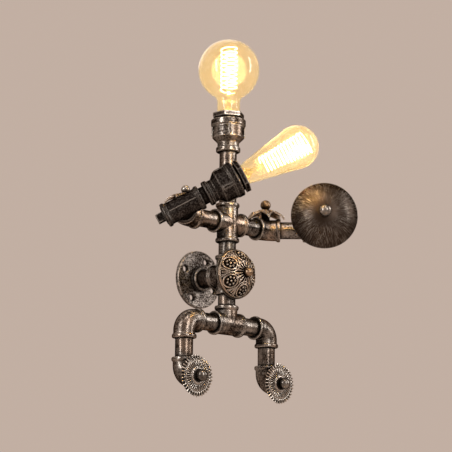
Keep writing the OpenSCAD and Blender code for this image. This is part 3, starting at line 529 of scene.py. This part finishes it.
class Finishes:
    """The lamp's materials, made once."""

    def __init__(self, colours, stage):
        self.colours = colours
        self.stage = stage
        self.wear_and_shade = wear_and_shade_group()
        self.rubbed = rubbed_group()
        self.by_slot = {
            **{slot: self.rubbed_metal(*look) for slot, look in RUBBED.items()},
            "shield_iron": self.brushed_shield(),
            "lampholder_ceramic": self.plain("glazed_ceramic", (0.72, 0.68, 0.60), 0.0, 0.25, 300.0),
            "contact_brass": self.plain("bright_brass", (0.72, 0.52, 0.22), 1.0, 0.28, 500.0),
            "bulb_insulator": self.plain("black_glass", (0.02, 0.02, 0.02), 0.0, 0.2, 400.0),
            "amber_glass": self.glass("amber_bulb_glass", 0.60),
            "hazy_glass": self.glass("hazy_bulb_glass", 0.57),
            "glowing_filament": self.lit_filament(),
            "flex_sheath": self.plain("black_sheath", (0.025, 0.025, 0.026), 0.0, 0.55, 700.0),
            "bush_rubber": self.plain("black_rubber", (0.03, 0.03, 0.03), 0.0, 0.7, 900.0),
        }

    def rubbed_metal(self, name, skin, bare_metal, wash, rub, mottle, edge, rough, grain_mm, ornate):
        """Dark metal, rubbed brighter in soft patches and worn bright on edges, with painted shade in recesses and
        creases.
        """
        skin, bare_metal, wash = (rgba(getattr(self.colours, key)) for key in (skin, bare_metal, wash))
        material, s, principled = new_material(name)
        finish = s.add("ShaderNodeGroup", {"Rub": rub, "Mottle": mottle}, node_tree=self.rubbed).outputs
        # Reach of the painted shade: short in the ornaments' fine relief, long round the collars of the fittings
        fine = {"Radius": 0.0028, "Distance": 0.005, "Open": 0.72}
        broad = {"Radius": 0.0028, "Distance": 0.018, "Open": 0.52}
        wear_and_shade = s.add("ShaderNodeGroup", fine if ornate else broad, node_tree=self.wear_and_shade).outputs
        metal = s.mix(bare_metal, wash, s.math("MULTIPLY", finish["Copper"], 0.55))
        body = s.mix(skin, metal, finish["Bare"])
        worn = s.math("MULTIPLY", wear_and_shade["Edge"], s.blend(edge * 0.5, edge, finish["Speckle"]))
        lit = s.mix(body, rgba(self.colours.bright), worn)
        # Painted shade, and dark wax on the ornaments: the colour runs to the dark wax colour in recesses and
        # creases
        dark = s.mix(lit, rgba(self.colours.wax_and_shade), s.math("MULTIPLY", wear_and_shade["RecessShade"], 0.92))
        mottled = s.math("MULTIPLY", s.math("SUBTRACT", finish["Speckle"], 0.5), 0.30)
        sheen = s.blend(rough * 1.15, rough * 0.85, finish["Bare"])
        roughness = s.blend(s.math("ADD", sheen, mottled, clamp=True), 0.6, wear_and_shade["RecessShade"])
        s.feed(principled, {"Base Color": dark, "Roughness": roughness, "Metallic": 1.0,
                            "Specular Tint": rgba(self.colours.grazing_shade),
                            "Normal": s.bump(finish["Height"], grain_mm * MM, 0.8)})
        return material

    def brushed_shield(self):
        """Dark iron with bright scratches that run out from the middle of the shield."""
        material, s, principled = new_material("brushed_shield_iron")
        matrix = axis_frame(JOINTS["shield_spin"])
        turn = matrix.to_3x3().transposed().to_euler()
        centre = s.add("ShaderNodeVectorMath", {0: s.place(), 1: matrix.translation}, operation="SUBTRACT")
        local = s.add("ShaderNodeMapping", {"Vector": centre.outputs[0], "Rotation": turn}).outputs[0]
        parts = s.add("ShaderNodeSeparateXYZ", {0: local}).outputs
        angle = s.math("ARCTAN2", parts["Y"], parts["X"])
        plan = s.add("ShaderNodeCombineXYZ", {"X": parts["X"], "Y": parts["Y"]}).outputs[0]
        radius = s.add("ShaderNodeVectorMath", {0: plan}, operation="LENGTH").outputs["Value"]
        polar = s.add("ShaderNodeCombineXYZ", {"X": s.math("MULTIPLY", angle, 46.0),
                                               "Y": s.math("MULTIPLY", radius, 90.0)}).outputs[0]
        scratch = s.noise(polar, 1.0, 4.0, 0.7, 0.9)
        fine = s.noise(polar, 3.0, 4.0, 0.75, 0.5)
        lines = s.math("ADD", s.math("MULTIPLY", scratch, 0.55), s.math("MULTIPLY", fine, 0.45))
        patches = s.ramp(s.noise(s.place(), 34.0, 4.0, 0.65), 0.42, 0.66)
        bare = s.math("MULTIPLY", s.ramp(lines, 0.50, 0.63), s.blend(0.4, 1.0, patches))
        bare = s.math("MULTIPLY", bare, s.ramp(radius, 0.010, 0.034))
        wear_and_shade = s.add("ShaderNodeGroup", {"Radius": 0.0018, "Distance": 0.006, "Open": 0.4},
                     node_tree=self.wear_and_shade).outputs
        bare = s.math("MAXIMUM", bare, s.math("MULTIPLY", wear_and_shade["Edge"], 0.8), clamp=True)
        dark, bright = rgba(self.colours.shield), rgba(self.colours.bright)
        s.feed(principled, {"Base Color": s.mix(dark, bright, s.math("MULTIPLY", bare, 0.72)),
                            "Roughness": s.blend(0.40, 0.44, bare), "Metallic": 1.0,
                            "Specular Tint": rgba(self.colours.grazing_shade),
                            "Normal": s.bump(lines, 0.00022, 0.6)})
        return material

    def plain(self, name, base, metallic, roughness, scale):
        """A plain finish with a little unevenness."""
        material, s, principled = new_material(name)
        speckle = s.noise(s.place(), scale, 4.0, 0.6)
        darker = rgba(0.72 * v for v in base)
        s.feed(principled, {"Base Color": s.mix(darker, rgba(base), s.ramp(speckle, 0.3, 0.6)),
                            "Roughness": s.blend(roughness * 0.8, min(roughness * 1.25, 1), speckle),
                            "Metallic": metallic, "Normal": s.bump(speckle, 0.0001, 0.5)})
        return material

    def glass(self, name, clear):
        """Thin amber glass with a fine haze that spreads the filament's light."""
        material, s, principled = new_material(name)
        clouds = s.ramp(s.noise(s.place(), 18.0, 3.0), 0.35, 0.65)
        deep = rgba(0.97 * v * w for v, w in zip(self.colours.glass, (1.0, 0.97, 0.90)))
        haze = s.ramp(s.noise(s.place(), 2600.0, 2.0), clear, clear + 0.1)
        s.feed(principled, {"Base Color": s.mix(rgba(self.colours.glass), deep, clouds),
                            "Roughness": s.blend(0.02, 0.58, haze), "IOR": 1.45,
                            "Transmission Weight": 1.0, "Emission Color": rgba(self.colours.glow),
                            "Emission Strength": self.stage.glass_glow})
        return material

    def lit_filament(self):
        """A glowing wire, hotter in some places than in others."""
        material, s, principled = new_material("lit_filament")
        hot = s.ramp(s.noise(s.place(), 140.0, 2.0), 0.25, 0.6)
        bright = rgba(self.colours.filament)
        warm = rgba(v * w for v, w in zip(self.colours.filament, (1.0, 0.8, 0.6)))
        s.feed(principled, {"Base Color": bright, "Emission Color": s.mix(warm, bright, hot),
                            "Emission Strength": self.stage.filament_glow})
        return material


FINISH = {}


def finishes():
    """The materials of this run."""
    if "set" not in FINISH:
        scene = bpy.context.scene
        FINISH["set"] = Finishes(scene.lamp_colours, scene.lamp_stage)
    return FINISH["set"].by_slot


def finish_of(node):
    """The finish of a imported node."""
    return finishes()[FINISH_OF.get(node, SLOT_OF[node])]


class LAMP_OT_stage(bpy.types.Operator):
    """Set the camera, the pale floor and the lights"""
    bl_idname = "lamp.stage"
    bl_label = "Stage"

    def execute(self, context):
        stage = context.scene.lamp_stage
        self.camera(context, stage)
        self.floor(context, stage)
        self.world(context, stage)
        self.lights(stage)
        context.scene.view_settings.view_transform = "Standard"
        return {"FINISHED"}

    def camera(self, context, stage):
        data = bpy.data.cameras.new("camera")
        data.sensor_width = 36
        data.lens = stage.lens
        camera = new_object("camera", data)
        turn = (Matrix.Rotation(-stage.camera_yaw, 4, "Z")
                @ Matrix.Rotation(math.pi / 2 + stage.camera_pitch, 4, "X")
                @ Matrix.Rotation(stage.camera_roll, 4, "Z"))
        camera.matrix_world = Matrix.Translation(Vector(stage.camera_place)) @ turn
        context.scene.camera = camera

    def floor(self, context, stage):
        clear_selection()
        height = CAD_BOX[0][2] - stage.floor_drop
        bpy.ops.mesh.primitive_plane_add(size=12, location=(0, 0, height))
        floor = context.object
        floor.name = "floor"
        material, s, principled = new_material("pale_floor")
        grain = s.ramp(s.noise(s.place(), 3.0, 5.0), 0.3, 0.7)
        pale = context.scene.lamp_colours.backdrop
        shades = [rgba([share * v for v in pale]) for share in (0.77, 0.8)]
        glow = s.math("MULTIPLY", self.seen(s), stage.floor_glow)
        s.feed(principled, {"Base Color": s.mix(*shades, grain), "Roughness": 0.8,
                            "Emission Color": rgba(pale), "Emission Strength": glow})
        floor.data.materials.append(material)

    def seen(self, s):
        """1 for a ray from the camera, or one that metal or glass sends on."""
        path = s.add("ShaderNodeLightPath").outputs
        through = s.math("MAXIMUM", path["Is Glossy Ray"], path["Is Transmission Ray"])
        return s.math("MAXIMUM", path["Is Camera Ray"], through)

    def world(self, context, stage):
        world = bpy.data.worlds.new("studio")
        context.scene.world = world
        world.use_nodes = True
        world.node_tree.nodes.clear()
        s = Shader(world.node_tree)
        pale = s.add("ShaderNodeBackground", {"Color": rgba(context.scene.lamp_colours.backdrop)})
        light = s.add("ShaderNodeBackground", {"Color": (1, 0.97, 0.94, 1), "Strength": stage.daylight})
        both = s.add("ShaderNodeMixShader", {0: self.seen(s), 1: light.outputs[0], 2: pale.outputs[0]})
        s.add("ShaderNodeOutputWorld", {"Surface": both.outputs[0]})

    def lights(self, stage):
        middle = (Vector(CAD_BOX[0]) + Vector(CAD_BOX[1])) / 2
        for name, (offset, width, height, share) in SOFTBOXES.items():
            data = bpy.data.lights.new(name, "AREA")
            data.shape = "RECTANGLE"
            data.size = width
            data.size_y = height
            data.energy = stage.key * share
            data.color = (1, 0.96, 0.93)
            spot = middle + Vector(offset)
            light = self.put(data, spot)
            light.rotation_euler = (middle - spot).to_track_quat("-Z", "Y").to_euler()
        for joint, node in (("globe_unscrew", "globe_glass"), ("pear_unscrew", "pear_glass")):
            matrix = axis_frame(JOINTS[joint])
            low, high, radius = reach(node, matrix)
            data = bpy.data.lights.new(node + "_light", "POINT")
            data.energy = stage.bulb_light
            data.color = (1, 0.66, 0.30)
            data.shadow_soft_size = 0.7 * radius
            self.put(data, matrix @ Vector((0, 0, high - radius)))

    def put(self, data, spot):
        light = new_object(data.name, data)
        light.location = spot
        light.visible_camera = False
        light.visible_transmission = False
        return light


class LAMP_OT_castings(bpy.types.Operator):
    """Give the castings the soft edges of cast iron"""
    bl_idname = "lamp.castings"
    bl_label = "Castings"

    def execute(self, context):
        for (voxel, rounds), nodes in CASTINGS.items():
            for node in nodes:
                self.cast(node, voxel, rounds)
        return {"FINISHED"}

    def cast(self, node, voxel, rounds):
        pick(NODES[node])
        bpy.ops.object.duplicate()
        obj = bpy.context.object
        obj.parent = None
        for key in list(obj.keys()):
            del obj[key]
        merge(obj)
        apply_modifier(obj, "REMESH", mode="VOXEL", voxel_size=voxel)
        apply_modifier(obj, "SMOOTH", factor=0.5, iterations=rounds)
        apply_modifier(obj, "DECIMATE", ratio=0.5)
        smooth(obj)
        dress(obj, "cast_" + node, BODY_OF[node], SLOT_OF[node], node)


class LAMP_OT_mould_line(bpy.types.Operator):
    """Raise the mould line along the lamp tee"""
    bl_idname = "lamp.mould_line"
    bl_label = "Mould line"

    def execute(self, context):
        sizes = context.scene.lamp_sizes
        matrix = axis_frame(JOINTS["pear_unscrew"])
        low, high, _ = reach("lamp_tee", matrix)
        start, end = low + sizes.tee_collar, high - sizes.tee_collar
        for side in (-1, 1):
            x = side * (sizes.tee_body / 2 - 0.3 * sizes.mould_line)
            points = [(x, 0, along(start, end, t)) for t in steps(12)]
            line = stroke(points, [sizes.mould_line / 2] * len(points))
            settle(line, matrix, 60)
            name = "front_mould_line" if side < 0 else "back_mould_line"
            dress(line, name, BODY_OF["lamp_tee"], "black_iron")
        return {"FINISHED"}


class LAMP_OT_finish(bpy.types.Operator):
    """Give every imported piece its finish"""
    bl_idname = "lamp.finish"
    bl_label = "Finishes"

    def execute(self, context):
        for name, node in NODES.items():
            for material_slot in node.material_slots:
                material_slot.material = finish_of(name)
        return {"FINISHED"}


class LAMP_OT_medallion(bpy.types.Operator):
    """Raise the ornament on the medallion's dome"""
    bl_idname = "lamp.medallion"
    bl_label = "Medallion"
    # Turn of the first cartouche, then shares: the ring of its grains of its frame, a grain of the rim
    first_turn = math.radians(33)
    grain_ring = 0.54
    grain_size = 0.055

    def execute(self, context):
        sizes = context.scene.lamp_sizes
        low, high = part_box("medallion")
        rim_y = high.y - sizes.medallion_bead / 2
        self.depth = rim_y - low.y
        self.rim = (high.x - low.x) / 2
        self.ball = dome_radius(self.rim, self.depth)
        self.relief = sizes.relief
        sector = join(self.cartouche() + self.leaf(sizes))
        copies_round(sector, sizes.cartouches)
        flute = self.flute(sizes)
        copies_round(flute, sizes.flutes)
        edge = 0.94 * self.rim
        piece = join([sector, flute, self.oval(0.0, edge, edge, 0.12, 0.0, proud=0.7, count=96)])
        settle(piece, facing_out(low, high, rim_y), 50)
        dress(piece, "medallion_relief", "frame", "antique_bronze")
        return {"FINISHED"}

    def on_dome(self, x, y, turn, lift):
        """The dome's point in front of a flat place turned about the middle, lifted off the dome."""
        c, s = math.cos(turn), math.sin(turn)
        x, y = c * x - s * y, s * x + c * y
        height = math.sqrt(self.ball ** 2 - x * x - y * y)
        normal = Vector((x, y, height)) / self.ball
        return Vector((x, y, height + self.depth - self.ball)) + lift * normal

    def drawn(self, flat, widths, turn, closed=False, proud=1.0):
        """A stroke on the dome through flat places, turned about the middle, that stands proud of it."""
        radii = [width * self.rim / 2 for width in widths]
        points = [self.on_dome(x, y, turn, proud * self.relief - radius)
                  for (x, y), radius in zip(flat, radii)]
        return stroke(points, radii, closed=closed)

    def cartouche(self):
        """One oval frame with a studded boss in it."""
        turn = self.first_turn
        centre = 0.68 * self.rim
        tall, wide = 0.225 * self.rim, 0.25 * self.rim
        made = [self.oval(centre, tall, wide, 0.085, turn), self.bead(centre, 0.0, turn)]
        for t in steps(7)[:-1]:
            x = self.grain_ring * tall * math.cos(FULL_TURN * t)
            made.append(self.bead(centre + x, self.grain_ring * wide * math.sin(FULL_TURN * t), turn))
        arch = []
        for t in steps(30):
            angle = math.pi + along(-1.9, 1.9, t)
            arch.append((centre + 1.42 * tall * math.cos(angle), 1.36 * wide * math.sin(angle)))
        made.append(self.drawn(arch, [0.05] * len(arch), turn, proud=0.7))
        return made

    def bead(self, x, y, turn):
        """One grain of the studded boss."""
        clear_selection()
        bpy.ops.mesh.primitive_ico_sphere_add(subdivisions=2, radius=self.grain_size * self.rim,
                                              location=self.on_dome(x, y, turn, 0.4 * self.relief))
        return bpy.context.object

    def oval(self, centre, tall, wide, width, turn, proud=1.0, count=36):
        flat = [(centre + tall * math.cos(FULL_TURN * t), wide * math.sin(FULL_TURN * t))
                for t in steps(count)[:-1]]
        return self.drawn(flat, [width] * count, turn, closed=True, proud=proud)

    def leaf(self, sizes):
        """One palm leaf between two frames: a broad rib and the veins that spread from it."""
        turn = self.first_turn - math.pi / sizes.cartouches
        rib = [(along(0.50, 0.88, t) * self.rim, 0.0) for t in steps(14)]
        made = [self.drawn(rib, [along(0.05, 0.10, t) for t in steps(14)], turn)]
        for start, spread in ((0.66, 0.11), (0.74, 0.19)):
            for side in (-1, 1):
                vein = [(along(start, 0.89, t) * self.rim, side * spread * self.rim * (0.3 + 0.7 * t))
                        for t in steps(8)]
                made.append(self.drawn(vein, [along(0.04, 0.065, t) for t in steps(8)], turn, proud=0.8))
        return made

    def flute(self, sizes):
        """One of the long flutes that run to the ball."""
        flat = [(along(0.15, 0.50, t) * self.rim, 0.0) for t in steps(12)]
        widths = [along(0.035, 0.115, ease(t)) * (1 - 0.5 * ease((t - 0.8) / 0.2)) for t in steps(12)]
        return self.drawn(flat, widths, math.pi / sizes.flutes)


class LAMP_OT_rosettes(bpy.types.Operator):
    """Press the pleated foot rosettes"""
    bl_idname = "lamp.rosettes"
    bl_label = "Rosettes"
    # Sheet and its soft edge; how far the edge draws in between pleats, clears its seat and is torn
    wall = 1.5 * MM
    bevel = 0.25 * MM
    edge_gap = 0.5 * MM
    scallop = 1.1 * MM
    groove = 0.7 * MM
    torn_in = 2.6 * MM
    torn_down = 0.9 * MM

    def execute(self, context):
        for side in SIDES:
            self.rosette(side, context.scene.lamp_sizes)
        return {"FINISHED"}

    def rosette(self, side, sizes):
        node = side + "_rosette"
        low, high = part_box(node)
        edge = (high.x - low.x) / 2
        seat = low.y + sizes.rosette_rise
        hole = sizes.rosette_hole / 2
        pleat = FULL_TURN / sizes.pleats
        drop = high.y - seat

        def point(u, v):
            bend = math.cos(FULL_TURN * (u - 0.5))
            outer = edge - self.scallop * (1 - bend)
            r = along(hole, outer, v ** 0.9)
            flat = r / edge
            z = along(sizes.rosette_rise, 0.56 * sizes.rosette_rise, ease((flat - 0.36) / 0.06))
            z -= (drop - self.edge_gap) * ease((flat - 0.50) / 0.62) * 1.25
            z -= self.groove * math.exp(-((flat - 0.735) / 0.03) ** 2)
            inner = 0.28 * ease((flat - 0.42) / 0.06) * (1 - ease((flat - 0.68) / 0.05))
            fringe = ease((flat - 0.76) / 0.06) * along(0.34, 0.5, flat)
            z += sizes.pleat_depth * (inner + fringe) * bend
            angle = (u - 0.5) * pleat
            return Vector((r * math.cos(angle), r * math.sin(angle), z))

        piece = sheet_from(point, 8, 56)
        copies_round(piece, sizes.pleats)
        merge(piece)
        self.tear(piece, edge, SIDES.index(side))
        press(piece, self.wall, self.bevel)
        settle(piece, facing_out(low, high, seat), 45)
        dress(piece, side + "_pleated_rosette", BODY_OF[node], "rosette_metal", node)

    def tear(self, piece, edge, seed):
        """Make the fringe uneven, always inwards."""
        for vertex in piece.data.vertices:
            r = math.hypot(vertex.co.x, vertex.co.y)
            spot = Vector((vertex.co.x, vertex.co.y, 0)) / r
            share = ease((r / edge - 0.70) / 0.28)
            short = self.torn_in * share * abs(noise.noise(9 * spot + Vector((0, 0, 5.3 * seed))))
            vertex.co.x -= short * spot.x
            vertex.co.y -= short * spot.y
            sag = abs(noise.noise(7 * spot + Vector((0, 0, 2.1 + 5.3 * seed))))
            vertex.co.z -= self.torn_down * share * sag


class LAMP_OT_petals(bpy.types.Operator):
    """Press the petal caps on the arms"""
    bl_idname = "lamp.petals"
    bl_label = "Petal caps"
    # Soft edge, and how far the parts of a petal stand above its dome or lie below it
    bevel = 0.35 * MM
    edge_lift = 0.9 * MM
    rib_lift = 0.7 * MM
    field_drop = 1.0 * MM
    collar_lift = 0.6 * MM

    def execute(self, context):
        for side in SIDES:
            self.cap(side, context.scene.lamp_sizes)
        return {"FINISHED"}

    def cap(self, side, sizes):
        node = side + "_petal_cap"
        low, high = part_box(node)
        centre = Vector(((low.x + high.x) / 2, (low.y + high.y) / 2, 0))
        flat = [v.co - centre for v in NODES[node].data.vertices]
        furthest = max(flat, key=lambda p: math.hypot(p.x, p.y))
        first = math.atan2(furthest.y, furthest.x)
        ball = dome_radius(sizes.petal_tip, sizes.petal_drop)
        sector = FULL_TURN / sizes.petals
        inner = sizes.petal_hole / 2

        def point(u, v):
            across = abs(2 * u - 1)
            angle = (u - 0.5) * sector
            dip = math.sin(0.5 * math.pi * across) ** 0.9
            edge = along(sizes.petal_tip, sizes.petal_notch, dip)
            r = along(inner, edge, v)
            rim = ease((v - 0.80) / 0.09)
            near_side = ease((across - 0.74) / 0.16) * ease((v - 0.40) / 0.25)
            rib = math.exp(-(across / 0.13) ** 2) * ease((v - 0.36) / 0.12)
            field = ease((v - 0.42) / 0.12) * (1 - rim) * (1 - near_side)
            lift = self.edge_lift * max(rim, near_side) + self.rib_lift * rib * (1 - rim)
            lift -= self.field_drop * field * (1 - rib)
            lift += self.collar_lift * math.exp(-((v - 0.34) / 0.05) ** 2)
            height = math.sqrt(max(ball * ball - r * r, 0)) - ball
            flat = Vector((r * math.cos(angle), r * math.sin(angle), height))
            return flat + lift * (flat + Vector((0, 0, ball))).normalized()

        piece = sheet_from(point, 28, 36)
        copies_round(piece, sizes.petals)
        merge(piece)
        press(piece, sizes.petal_wall, self.bevel)
        top = Vector((centre.x, centre.y, high.z))
        matrix = Matrix.Translation(top) @ Matrix.Rotation(first, 4, "Z")
        settle(piece, matrix, 50)
        dress(piece, side + "_petals", BODY_OF[node], "antique_bronze", node, finish="petal_bronze")
        self.rim(side, node, point, sizes, matrix)

    def rim(self, side, node, point, sizes, matrix):
        """The bright bead along the edge of the petals."""
        points = []
        for petal in range(sizes.petals):
            turn = Matrix.Rotation(FULL_TURN * petal / sizes.petals, 3, "Z")
            points += [turn @ point(u, 0.93) for u in steps(24)[:-1]]
        bead = stroke(points, [sizes.petal_bead / 2] * len(points), closed=True)
        settle(bead, matrix, 60)
        dress(bead, side + "_petal_bead", BODY_OF[node], "antique_bronze")


class LAMP_OT_bulbs(bpy.types.Operator):
    """Blow the bulbs' glass and wind their filaments"""
    bl_idname = "lamp.bulbs"
    bl_label = "Bulbs"
    foot_height = 6 * MM
    support_radius = 0.35 * MM
    steps_per_turn = 20

    def execute(self, context):
        sizes = context.scene.lamp_sizes
        for kind, outline in (("globe", self.globe_outline), ("pear", self.pear_outline)):
            matrix = axis_frame(JOINTS[kind + "_unscrew"])
            self.glass(kind, matrix, outline, sizes)
            self.inside(kind, matrix, sizes)
        return {"FINISHED"}

    def glass(self, kind, matrix, outline, sizes):
        node = kind + "_glass"
        low, high, radius = reach(node, matrix)
        piece = lathe(outline(low, high, radius, sizes), 128)
        apply_modifier(piece, "SOLIDIFY", thickness=sizes.glass_wall, offset=-1)
        settle(piece, matrix)
        finish = "amber_glass" if kind == "globe" else "hazy_glass"
        dress(piece, kind + "_blown_glass", BODY_OF[node], "amber_glass", node, finish=finish)
        piece.visible_shadow = False

    def globe_outline(self, low, high, radius, sizes):
        """Foot, neck, and a hollow curve that runs into the ball."""
        neck = sizes.globe_neck / 2
        curve = sizes.globe_curve
        centre = high - radius
        rise = math.sqrt((radius + curve) ** 2 - (neck + curve) ** 2)
        slope = math.atan2(rise, neck + curve)
        points = self.foot(low, neck, sizes)
        points += [(neck + curve * (1 - math.cos(slope * t)), centre - rise + curve * math.sin(slope * t))
                   for t in steps(14)]
        return points + self.crown(centre, radius, -slope, 40)

    def pear_outline(self, low, high, radius, sizes):
        """Foot, and a cone that runs into the round crown."""
        neck = sizes.pear_neck / 2
        centre = high - radius
        slope = math.asin((radius - neck) / (centre - low))
        points = self.foot(low, neck + self.foot_height * math.tan(slope), sizes)
        return points + self.crown(centre, radius, -slope, 32)

    def foot(self, low, neck, sizes):
        """The glass from the cap out to the neck."""
        cap = sizes.bulb_cap / 2
        return [(along(cap, neck, ease(t)), low + self.foot_height * t) for t in steps(6)]

    def crown(self, centre, radius, start, count):
        arc = [along(start, math.pi / 2, t) for t in steps(count)]
        ball = [(radius * math.cos(a), centre + radius * math.sin(a)) for a in arc[1:-1]]
        return ball + [(0, centre + radius)]

    def inside(self, kind, matrix, sizes):
        """The filament, its glass mount and the wires that hold it."""
        node = kind + "_filament"
        body = BODY_OF[node]
        low, high, _ = reach(node, matrix)
        turns = getattr(sizes, kind + "_turns")
        top = high - sizes.wire
        start = top - getattr(sizes, kind + "_coil")
        radius = sizes.coil / 2
        whole = FULL_TURN * turns
        wide = radius if kind == "globe" else radius * sizes.pear_flare
        path = []
        for t in steps(turns * self.steps_per_turn):
            r = along(radius, wide, ease(t))
            path.append((r * math.cos(whole * t), r * math.sin(whole * t), along(start, top, t)))
        coil = stroke(path, [sizes.wire / 2] * len(path), sides=2)
        settle(coil, matrix)
        dress(coil, kind + "_wound_filament", body, "glowing_filament", node)
        # Glass mount: the height it counts from, radius and rise in mm
        outline = ((low, 11, 0), (low, 9, 5), (low, 5, 11), (low, 3, 17), (start, 2.8, -5), (start, 4, -2),
                   (start, 2.8, 1), (start, 1.2, 3), (top, 1.1, -2), (top, 2.2, 0), (top, 1.5, 1.4),
                   (top, 0, 1.8))
        mount = lathe([(r * MM, level + rise * MM) for level, r, rise in outline], 32)
        settle(mount, matrix, 60)
        dress(mount, kind + "_glass_mount", body, "amber_glass")
        mount.visible_shadow = False
        wires = [self.wire([(1 * MM, 0, z - 2 * MM), (0.5 * radius, 0, z - 1 * MM), (radius, 0, z)])
                 for z in (start, top)]
        for share in (0.25, 0.5, 0.75):
            z = along(start, top, share)
            for side in (-1, 1):
                wires.append(self.wire([(0.8 * MM, 0, z), (0, side * 0.6 * radius, z + 1 * MM),
                                        (0, side * radius, z)]))
        wires = join(wires)
        settle(wires, matrix)
        dress(wires, kind + "_support_wires", body, "contact_brass")

    def wire(self, points):
        return stroke(points, [self.support_radius] * len(points), sides=1)


CLASSES = (LampColours, OrnamentSizes, StageSettings, LAMP_OT_stage, LAMP_OT_finish, LAMP_OT_castings,
           LAMP_OT_mould_line, LAMP_OT_medallion, LAMP_OT_rosettes, LAMP_OT_petals, LAMP_OT_bulbs)


class LAMP_PT_panel(bpy.types.Panel):
    """Lists the lamp's operators and settings"""
    bl_idname = "LAMP_PT_panel"
    bl_label = "Robot wall lamp"
    bl_space_type = "VIEW_3D"
    bl_region_type = "UI"
    bl_category = "Lamp"

    def draw(self, context):
        for each in CLASSES:
            if issubclass(each, bpy.types.Operator):
                self.layout.operator(each.bl_idname)
        for group in (context.scene.lamp_colours, context.scene.lamp_sizes, context.scene.lamp_stage):
            for key in group.__annotations__:
                self.layout.prop(group, key)


def register():
    for each in (*CLASSES, LAMP_PT_panel):
        bpy.utils.register_class(each)
    bpy.types.Scene.lamp_colours = PointerProperty(type=LampColours)
    bpy.types.Scene.lamp_sizes = PointerProperty(type=OrnamentSizes)
    bpy.types.Scene.lamp_stage = PointerProperty(type=StageSettings)


def unregister():
    del bpy.types.Scene.lamp_stage
    del bpy.types.Scene.lamp_sizes
    del bpy.types.Scene.lamp_colours
    for each in reversed((*CLASSES, LAMP_PT_panel)):
        bpy.utils.unregister_class(each)


def main():
    register()
    bpy.ops.lamp.stage()
    bpy.ops.lamp.finish()
    bpy.ops.lamp.castings()
    bpy.ops.lamp.mould_line()
    bpy.ops.lamp.medallion()
    bpy.ops.lamp.rosettes()
    bpy.ops.lamp.petals()
    bpy.ops.lamp.bulbs()


if __name__ == "__main__":
    main()
